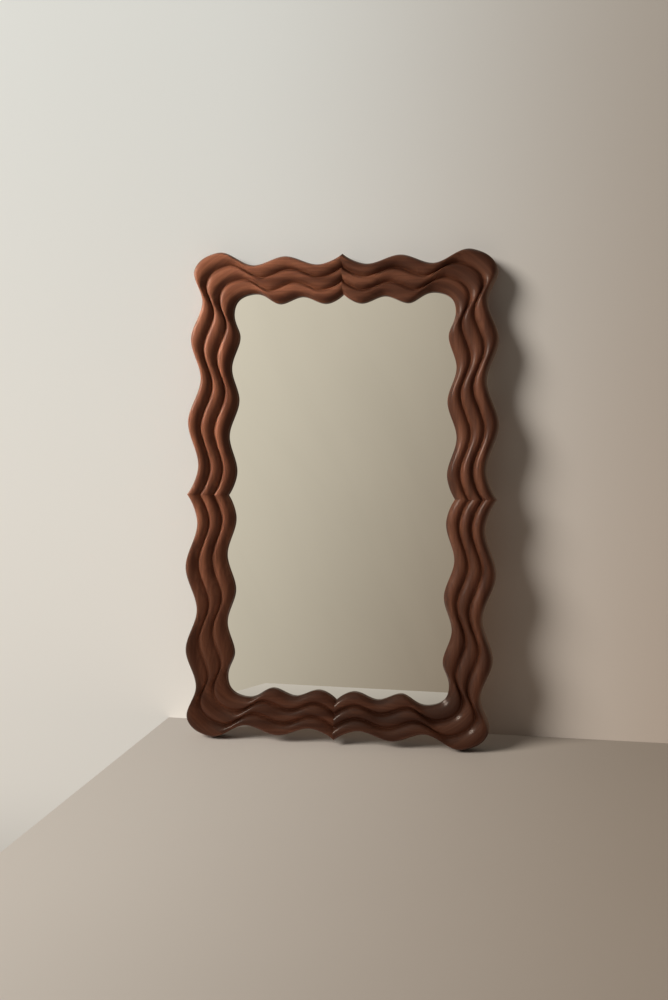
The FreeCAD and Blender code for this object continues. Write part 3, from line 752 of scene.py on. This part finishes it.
# %% [markdown]
# A boolean modifier takes each cutter away, and the result is kept as the quarter's own mesh.
# Then the shading is smoothed, but not over the sharp edges that a router leaves.

# %% Cut them out of each quarter
WOOD_CREASE = math.radians(38)


def cut(piece, cutters):
    """Takes the cutters out of a piece and keeps the result as its mesh."""
    for cutter in cutters:
        bpy.context.scene.collection.objects.link(cutter)
        step = piece.modifiers.new(cutter.name, "BOOLEAN")
        step.operation = "DIFFERENCE"
        step.solver = "EXACT"
        step.object = cutter
    graph = bpy.context.evaluated_depsgraph_get()
    mesh = bpy.data.meshes.new_from_object(piece.evaluated_get(graph))
    piece.modifiers.clear()
    piece.data = mesh
    for cutter in cutters:
        bpy.context.scene.collection.objects.unlink(cutter)


def crease(piece, angle):
    """Smooth shading, broken where faces meet at more than an angle."""
    shape = bmesh.new()
    shape.from_mesh(piece.data)
    for face in shape.faces:
        face.smooth = True
    for edge in shape.edges:
        edge.smooth = len(edge.link_faces) == 2 and edge.calc_face_angle() < angle
    shape.to_mesh(piece.data)
    shape.free()


for name, quarter in quarters.items():
    cut(quarter, rebates + [rods[name]])
    crease(quarter, WOOD_CREASE)
    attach(quarter, "frame")
    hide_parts(f"frame_quarter_{name}")
    lit["on_wood"].objects.link(quarter)
print({name: len(quarter.data.vertices) for name, quarter in quarters.items()})

# %% [markdown]
# ## The run of the grain
#
# Wood shows its fibres as fine streaks along the board, and the streaks of this frame run along
# each side and turn with the corner. A pattern can't turn by itself, so every vertex is told
# where it lies in the board it was carved from: how far along, how far across and how deep. The
# carving then cuts through the pattern, as it does through real growth rings. Each quarter gets a
# board of its own, far away in the pattern.

# %% Places in the board
TURN_CENTRE = Vector((0.175, 0.340))
TURN_RADIUS = 0.090
BOARD_STEP = 1.7
BOARDS = ("top_left", "bottom_right", "top_right", "bottom_left")


def lay_grain(piece, board):
    """Stores each vertex's place along, across and into its board, in metres."""
    count = len(piece.data.vertices)
    spots = np.empty(count * 3, np.float32)
    piece.data.vertices.foreach_get("co", spots)
    x, depth, z = spots.reshape(count, 3).T
    past_x = np.clip(abs(x) - TURN_CENTRE.x, 0, None)
    past_z = np.clip(abs(z) - TURN_CENTRE.y, 0, None)
    along = (np.clip(abs(z), None, TURN_CENTRE.y) + TURN_RADIUS * np.arctan2(past_z, past_x)
             + np.clip(TURN_CENTRE.x - abs(x), 0, None))
    grain = piece.data.attributes.new("grain", "FLOAT_VECTOR", "POINT")
    places = np.stack((along + board * BOARD_STEP, np.hypot(past_x, past_z), depth), axis=1)
    grain.data.foreach_set("vector", places.astype(np.float32).ravel())


for board, name in enumerate(BOARDS):
    lay_grain(quarters[name], board)
print("boards", BOARDS)

# %% [markdown]
# ## Stained wood
#
# The finish is a red-brown stain under a satin lacquer. Four things make it look like wood and
# not like paint: broad streaks of darker stain, thin lines where one year's growth meets the
# next, fine fibres, and pores that are dark and a little sunk. A photograph of wood could be
# wrapped round, but it would show seams, and noise stretched along the board has none.

# %% Patterns along the board
# Blotches to a metre, along the board and across it.
STREAKS = (1.8, 42)
FIBRES = (16, 620)
PORES = (150, 2300)
TOOL_MARKS = (45, 120)
RING_SWAY = (1.6, 14)


def stretched(tree, along, across):
    """The board's own places, stretched along it and across it."""
    where = add(tree, "ShaderNodeAttribute", attribute_name="grain").outputs["Vector"]
    return add(tree, "ShaderNodeMapping",
               {"Vector": where, "Scale": (along, across, across)}).outputs[0]


def figure(tree, blotches, detail):
    """Noise that follows the board."""
    return grains(tree, stretched(tree, *blotches), 1.0, detail=detail)


print("pores are", round(1000 / PORES[0], 1), "mm long and", round(1000 / PORES[1], 2), "mm wide")

# %% [markdown]
# A year's growth starts pale and ends dark, and then the next begins at once. A count that runs
# up across the board gives that when only its fraction is kept, and a slow sway keeps the rings
# from being ruled lines.

# %% Growth rings
RINGS_PER_METRE = 150
RING_SLANT = 95
RING_WANDER = 9.0


def ring_lines(tree):
    """Growth rings: from 0 to 1 over each year, and suddenly back."""
    split = add(tree, "ShaderNodeSeparateXYZ", {0: stretched(tree, 1, 1)}).outputs
    year = work_out(tree, "MULTIPLY", split[1], RINGS_PER_METRE)
    for value, many in ((split[2], RING_SLANT), (figure(tree, RING_SWAY, 2.0), RING_WANDER)):
        year = work_out(tree, "ADD", year, work_out(tree, "MULTIPLY", value, many))
    return work_out(tree, "FRACT", year)


print("rings", round(1000 / RINGS_PER_METRE, 1), "mm apart")

# %% [markdown]
# The stain is also darker in the hollows and the lacquer duller there, while the crests are
# lighter and smoother. The back and the rebates have the same stain without the lacquer, so they
# are duller.

# %% Stain and lacquer
STAIN_DARK = (0.082, 0.026, 0.013)
STAIN_LIGHT = (0.240, 0.087, 0.045)
STAIN_HOLLOW = (0.080, 0.026, 0.013)
LATE_WOOD = 0.26
FIBRE_STAIN = 0.30
PORE_STAIN = 0.45
HOLLOW_STAIN = 0.30
HOLLOW_DULL = 0.08
FIBRE_HEIGHT = 0.35
TOOL_DEPTH = 0.0004
PORE_DEPTH = 0.00012
SATIN = (0.36, 0.44)
RAW = (0.62, 0.75)
LACQUER = {"Coat_Weight": 0.25, "Coat_Roughness": 0.19}


def stained_wood(name, tone, lacquered=True):
    """Stained hardwood: tone is a lightness of about 1, and paints light and shade on."""
    made, tree, shader = finish(name, Specular_IOR_Level=0.12, **(LACQUER if lacquered else {}))
    fibre, pore = figure(tree, FIBRES, 2.0), figure(tree, PORES, 1.0)
    hollow = add(tree, "ShaderNodeAttribute", attribute_name="hollow").outputs["Fac"]

    stain = tint(tree, spread(tree, figure(tree, STREAKS, 3.0), 0.30, 0.72), STAIN_DARK,
                 STAIN_LIGHT)
    late = work_out(tree, "MULTIPLY", spread(tree, ring_lines(tree), 0.45, 0.97), LATE_WOOD)
    stain = tint(tree, late, stain, STAIN_DARK)
    stain = tint(tree, spread(tree, fibre, 0.35, 0.75, 0.0, FIBRE_STAIN), stain, STAIN_DARK)
    pit = spread(tree, pore, 0.62, 0.74)
    stain = tint(tree, work_out(tree, "MULTIPLY", pit, PORE_STAIN), stain, STAIN_HOLLOW)
    # The stain is darker towards the valleys.
    hollow_darkening = spread(tree, hollow, 0.45, 1.0, 0.0, HOLLOW_STAIN)
    stain = tint(tree, hollow_darkening, stain, STAIN_HOLLOW)
    # The quarter's tone, which also paints light and shade onto it.
    stain = tint(tree, 1.0, stain, (tone, tone, tone), "MULTIPLY")

    dull = spread(tree, fibre, 0.3, 0.7, *(SATIN if lacquered else RAW))
    if lacquered:
        dull = work_out(tree, "ADD", dull, work_out(tree, "MULTIPLY", hollow, HOLLOW_DULL))
    carved = bump(tree, figure(tree, TOOL_MARKS, 1.0), TOOL_DEPTH)
    height = work_out(tree, "SUBTRACT", work_out(tree, "MULTIPLY", fibre, FIBRE_HEIGHT), pit)
    feed(tree, shader, Base_Color=stain, Roughness=dull,
         Normal=bump(tree, height, PORE_DEPTH, under=carved))
    return made


print("lacquer", LACQUER)

# %% [markdown]
# Each quarter has a tone of its own, which paints light and shade onto it: the right quarters are
# darker and the bottom left lighter, as the light falls across the frame. Its back is a little
# darker.
# The faces at the back are found by where they lie and which way they look.

# %% Front and back of each quarter
# Painted light: darker on the right quarters, lighter at the bottom left.
TONES_WITH_PAINTED_LIGHT = {"top_left": 0.94, "top_right": 0.78, "bottom_left": 1.08, "bottom_right": 0.84}
BACK_TONE = 0.9
A_TRACE_OVER = 1.01
NEARLY_FLAT = 0.9

board_reach = board_high + Vector((BOARD_CLEARANCE, 0, BOARD_CLEARANCE)) * A_TRACE_OVER


def is_back(face):
    """True on the flat back, in the rebates and behind the lip."""
    middle = face.center
    in_rebate = (middle.y > lip_y and abs(middle.x) < board_reach.x
                 and abs(middle.z) < board_reach.z)
    return face.normal.y > NEARLY_FLAT or in_rebate


for name, quarter in quarters.items():
    quarter.data.materials.clear()
    quarter.data.materials.append(stained_wood(f"stained_wood_{name}", TONES_WITH_PAINTED_LIGHT[name]))
    quarter.data.materials.append(
        stained_wood(f"bare_wood_{name}", TONES_WITH_PAINTED_LIGHT[name] * BACK_TONE, lacquered=False))
    for face in quarter.data.polygons:
        face.material_index = int(is_back(face))
print({name: sum(face.material_index for face in quarter.data.polygons)
       for name, quarter in quarters.items()}, "faces at the back")

# %% [markdown]
# ## The glass
#
# A mirror is glass with silver behind it. All that reaches the eye is the silver's reflection
# with a trace of the glass's green, so one metallic shader does it, and no light has to be traced
# through the glass twice. It was wiped by hand, which leaves the faintest of dull patches.

# %% Silvered glass
SILVER = (0.93, 0.945, 0.925)
SILVER_WIPED = (0.90, 0.915, 0.895)
WIPED_DULL = 0.025


def wear(node, material):
    """Gives a solid its finish."""
    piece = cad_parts[node]
    piece.data.materials.clear()
    piece.data.materials.append(material)


silver, tree, shader = finish("silvered_glass", Metallic=1.0)
wiped = grains(tree, place(tree, scale=(1, 1, 0.35), turn=(0, 0.5, 0)), 9.0, detail=3.0,
               distortion=0.6)
feed(tree, shader, Roughness=spread(tree, wiped, 0.45, 0.8, 0.0, WIPED_DULL),
     Base_Color=tint(tree, spread(tree, wiped, 0.3, 0.8), SILVER, SILVER_WIPED))
wear("mirror_glass", silver)
print("glass", [round(c, 3) for c in glass_high - glass_low])

# %% [markdown]
# ## Behind the glass
#
# These pieces are only seen with the back taken off, or at its edges. Plain colours would do for
# that, but a finish at its own real scale holds up when someone looks closely. Beech dowels are
# pale wood with short flecks along them.

# %% Beech dowels
BEECH_DARK = (0.62, 0.42, 0.25)
BEECH_PALE = (0.70, 0.51, 0.33)
BEECH_FLECK = (0.42, 0.25, 0.13)
SIDES = ("left", "right", "top", "bottom")

beech, tree, shader = finish("beech", Roughness=0.6)
fleck = grains(tree, place(tree, scale=(1, 1, 0.12)), 1400, detail=2.0)
plain = tint(tree, grains(tree, place(tree), 60), BEECH_DARK, BEECH_PALE)
feed(tree, shader, Base_Color=tint(tree, spread(tree, fleck, 0.6, 0.75), plain, BEECH_FLECK),
     Normal=bump(tree, fleck, 0.0001))
for side_name in SIDES:
    wear(f"joint_dowels_{side_name}", beech)
print("beech on", len(SIDES), "pairs of dowels")

# %% [markdown]
# The foam sheet is closed-cell foam with a fine bubbly skin, and the glazing tape is the same in
# black. A Voronoi pattern is made of cells, so it draws the bubbles. The setting blocks are matt
# rubber, which is only a little mottled.

# %% Foam, tape and blocks


def foamed(name, pale, dark, bubbles):
    """Closed-cell foam with this many bubbles to a metre."""
    made, tree, shader = finish(name)
    cells = add(tree, "ShaderNodeTexVoronoi", {"Vector": place(tree), "Scale": bubbles}).outputs[0]
    feed(tree, shader, Base_Color=tint(tree, spread(tree, cells, 0.1, 0.7), pale, dark),
         Roughness=spread(tree, cells, 0.0, 0.8, 0.7, 0.95), Normal=bump(tree, cells, 0.0002))
    return made


wear("backing_foam", foamed("backing_foam", (0.78, 0.78, 0.76), (0.62, 0.62, 0.60), 900))
tape = foamed("glazing_tape", (0.035, 0.035, 0.036), (0.015, 0.015, 0.016), 1600)
for side_name in SIDES:
    wear(f"glazing_tape_{side_name}", tape)

rubber, tree, shader = finish("setting_rubber")
skin = grains(tree, place(tree), 800, detail=3.0)
feed(tree, shader, Base_Color=tint(tree, skin, (0.028, 0.028, 0.029), (0.055, 0.054, 0.052)),
     Roughness=spread(tree, skin, 0.3, 0.7, 0.6, 0.8), Normal=bump(tree, skin, 0.0001))
wear("setting_blocks", rubber)
print("finished behind the glass: foam, tape and blocks")

# %% [markdown]
# ## The back board
#
# Hardboard is steamed wood fibre pressed between plates, so its face is smooth, brown and finely
# mottled, with darker fibres lying every way. One noise would stretch them all alike, so three
# are turned against each other.

# %% Hardboard
HARDBOARD_DARK = (0.240, 0.140, 0.074)
HARDBOARD_PALE = (0.300, 0.182, 0.100)
HARDBOARD_FIBRE = (0.140, 0.076, 0.040)
FIBRE_TURNS = (0.35, 1.40, 2.45)

hardboard, tree, shader = finish("hardboard")
fibres = hairs_in(tree, [((1, 1, 0.14), (0, turn, 0), 1100) for turn in FIBRE_TURNS])
mottle = grains(tree, place(tree), 45, detail=6.0, roughness=0.65)
pressed = tint(tree, spread(tree, mottle, 0.30, 0.70), HARDBOARD_DARK, HARDBOARD_PALE)
darker = spread(tree, fibres, 0.58, 0.76, 0.0, 0.55)
feed(tree, shader, Base_Color=tint(tree, darker, pressed, HARDBOARD_FIBRE),
     Roughness=spread(tree, mottle, 0.3, 0.7, 0.42, 0.55), Normal=bump(tree, fibres, 0.00008))
wear("back_board", hardboard)
print("board", [round(c, 3) for c in board_high - board_low])

# %% [markdown]
# ## Screws and hangers
#
# The screws are zinc plated, which dries in a faint yellow bloom over bright metal, and the
# hangers are nickel plated and tumbled, so they carry fine scratches every way. Both are one
# metallic shader whose roughness and colour vary a little. Bright metal without that looks like
# plastic foil.

# %% Plated steel
SCRATCH_DEPTH = 0.00001
SCREWS = ("back_board_screws", "hanger_screws_left", "hanger_screws_right")
HANGERS = ("hanger_strap_left", "hanger_strap_right", "hanger_ring_left", "hanger_ring_right")


def plated(name, bright, bloom, smooth, dull):
    """Plated steel, between a bright and a bloomed colour."""
    made, tree, shader = finish(name, Metallic=1.0)
    haze = grains(tree, place(tree), 260, detail=4.0, roughness=0.6)
    scratch = grains(tree, place(tree, scale=(1, 1, 0.06), turn=(0.3, 0.5, 0.2)), 4200, detail=2.0)
    feed(tree, shader, Base_Color=tint(tree, spread(tree, haze, 0.35, 0.7), bright, bloom),
         Roughness=spread(tree, haze, 0.3, 0.7, smooth, dull),
         Normal=bump(tree, spread(tree, scratch, 0.55, 0.7), SCRATCH_DEPTH))
    return made


zinc = plated("zinc_steel", (0.72, 0.70, 0.63), (0.62, 0.56, 0.38), 0.28, 0.42)
nickel = plated("nickel_steel", (0.76, 0.74, 0.70), (0.66, 0.64, 0.60), 0.27, 0.38)
for node in SCREWS:
    wear(node, zinc)
for node in HANGERS:
    wear(node, nickel)
print("plated:", zinc.name, "on", len(SCREWS), "nodes and", nickel.name, "on", len(HANGERS))

# %% [markdown]
# A solid arrives as loose flat triangles. Welding their corners and smoothing every edge that
# bends only a little gives the wire and the rolled strap the even shine of drawn metal, while
# true edges stay sharp. Geometry nodes do it as a modifier, so the solid's own mesh is left as it
# came.

# %% Smooth the metal
SLIGHT_BEND = math.radians(32)
WELD = 0.000002


def smoothing_steps(angle):
    """Node group that shades smooth, apart from edges that bend more than an angle."""
    made = bpy.data.node_groups.new("smooth_metal", "GeometryNodeTree")
    made.interface.new_socket("Geometry", in_out="INPUT", socket_type="NodeSocketGeometry")
    made.interface.new_socket("Geometry", in_out="OUTPUT", socket_type="NodeSocketGeometry")
    start, end = made.nodes.new("NodeGroupInput"), made.nodes.new("NodeGroupOutput")
    welded = add(made, "GeometryNodeMergeByDistance",
                 {"Geometry": start.outputs[0], "Distance": WELD}).outputs[0]
    faces = add(made, "GeometryNodeSetShadeSmooth",
                {"Geometry": welded, "Shade Smooth": True}, domain="FACE").outputs[0]
    bend = add(made, "GeometryNodeInputMeshEdgeAngle").outputs[0]
    slight = add(made, "FunctionNodeCompare", {0: bend, 1: angle}, data_type="FLOAT",
                 operation="LESS_THAN").outputs[0]
    edges = add(made, "GeometryNodeSetShadeSmooth",
                {"Geometry": faces, "Shade Smooth": slight}, domain="EDGE").outputs[0]
    made.links.new(edges, end.inputs[0])
    return made


smoothing = smoothing_steps(SLIGHT_BEND)
for node in SCREWS + HANGERS:
    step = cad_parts[node].modifiers.new("smooth", "NODES")
    step.node_group = smoothing
    lit["on_metal"].objects.link(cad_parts[node])
print("smoothed up to", round(math.degrees(SLIGHT_BEND)), "degrees")

# %% [markdown]
# ## Felt bumpers
#
# Four discs punched out of pressed felt keep the mirror off the wall. Punching leaves a clean
# edge that soon wears round and hairy. A plain cylinder with a bevel would stay too even, so half
# of the disc's outline is spun round like a piece on a lathe, and its rim is then worn unevenly.

# %% Shape of a bumper
RIM_ROUND = 0.0012
RIM_STEPS = 4
TURN_STEPS = 64
FACE_STEPS = 5
FELT_WEAR = 0.00012
WEAR_PER_METRE = 900


def felt_disc(name, low, high):
    """Disc with a rounded rim on the wall's side, inside the box of its solid."""
    radius, middle = (high.x - low.x) / 2, (low + high) / 2
    profile = [(0, low.y), (radius, low.y)]
    for k in range(RIM_STEPS + 1):
        angle = math.pi / 2 * k / RIM_STEPS
        profile.append((radius - RIM_ROUND * (1 - math.cos(angle)),
                        high.y - RIM_ROUND * (1 - math.sin(angle))))
    profile += [((radius - RIM_ROUND) * (1 - k / FACE_STEPS), high.y)
                for k in range(1, FACE_STEPS + 1)]
    shape = bmesh.new()
    line = [shape.verts.new((middle.x + r, y, middle.z)) for r, y in profile]
    edges = [shape.edges.new(pair) for pair in zip(line, line[1:])]
    bmesh.ops.spin(shape, geom=line + edges, cent=middle, axis=(0, 1, 0), angle=2 * math.pi,
                   steps=TURN_STEPS, use_merge=True)
    bmesh.ops.remove_doubles(shape, verts=shape.verts, dist=SAME_SPOT)
    bmesh.ops.recalc_face_normals(shape, faces=shape.faces)
    for vertex in shape.verts:
        away = Vector((vertex.co.x - middle.x, 0, vertex.co.z - middle.z))
        if vertex.co.y > low.y + SAME_SPOT and away.length > radius - RIM_ROUND:
            worn = 0.5 + 0.5 * noise.noise(vertex.co * WEAR_PER_METRE)
            vertex.co -= away.normalized() * worn * FELT_WEAR
    return piece_from(shape, name)


bumpers = {name: felt_disc(f"felt_bumper_{name}", *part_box(f"wall_bumper_{name}"))
           for name in quarters}
print({name: len(bumper.data.polygons) for name, bumper in bumpers.items()})

# %% [markdown]
# Pressed felt is a mat of hairs that lie every way, so it has the pattern of the hardboard at a
# hair's scale, with lighter hairs over soft clumps. Felt scatters light at its edges, which is
# what sheen does.

# %% Felt
FELT_DARK = (0.070, 0.052, 0.040)
FELT_PALE = (0.115, 0.090, 0.072)
FELT_HAIR = (0.210, 0.175, 0.145)
FELT_WAYS = (((1, 0.12, 1), (0.4, 0.2, 0.9), 5200), ((0.12, 1, 1), (0, 0.5, 0), 4600),
             ((1, 1, 0.12), (0.2, -0.6, 0), 4300))

felt, tree, shader = finish("felt", Roughness=0.95, Sheen_Weight=0.35, Specular_IOR_Level=0.1)
hairs = hairs_in(tree, FELT_WAYS)
clumps = grains(tree, place(tree), 420, detail=3.0)
fluff = tint(tree, spread(tree, clumps, 0.3, 0.7), FELT_DARK, FELT_PALE)
feed(tree, shader,
     Base_Color=tint(tree, spread(tree, hairs, 0.55, 0.75, 0.0, 0.7), fluff, FELT_HAIR),
     Normal=bump(tree, work_out(tree, "ADD", hairs, clumps), 0.0003))
for name, bumper in bumpers.items():
    crease(bumper, SLIGHT_BEND)
    bumper.data.materials.append(felt)
    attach(bumper, "frame")
    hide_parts(f"wall_bumper_{name}")
print("felt on", len(bumpers), "bumpers")
